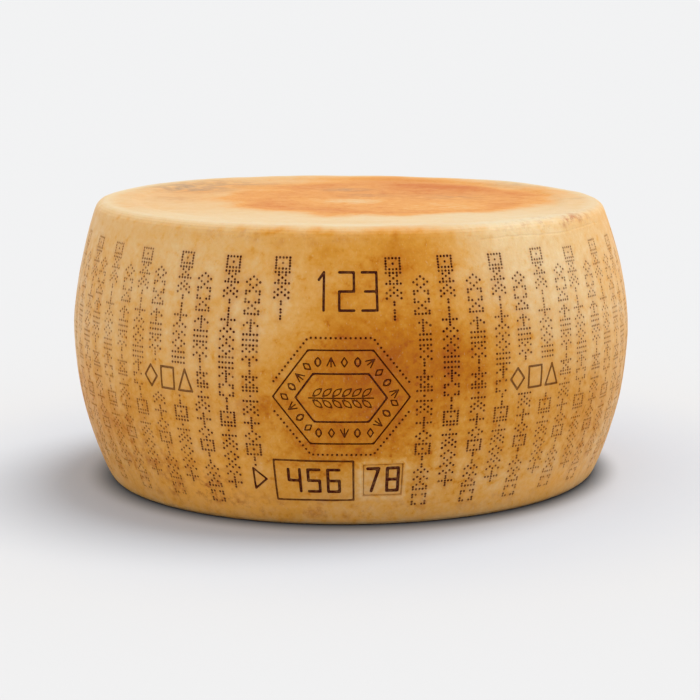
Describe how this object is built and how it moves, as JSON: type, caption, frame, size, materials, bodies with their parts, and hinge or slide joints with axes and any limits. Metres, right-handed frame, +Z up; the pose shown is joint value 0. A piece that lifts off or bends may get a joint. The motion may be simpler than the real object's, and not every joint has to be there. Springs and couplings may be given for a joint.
{
  "type": "cheese wheel",
  "caption": "Whole drum-shaped wheel of hard aged cheese with bulging sides, a shallow dish in its top face and plain marks pressed into the rind.",
  "frame": {"origin": "on the flat resting face, under the middle of the drum", "axes": "+Z up out of the resting face, -Y towards the stamped front, +X to the right of the front"},
  "size_m": [0.44, 0.44, 0.2193],
  "materials": {
    "rind": "waxy, mottled amber to cream, satin"
  },
  "bodies": {
    "root": {"cheese_wheel": "rind"}
  },
  "joints": []
}
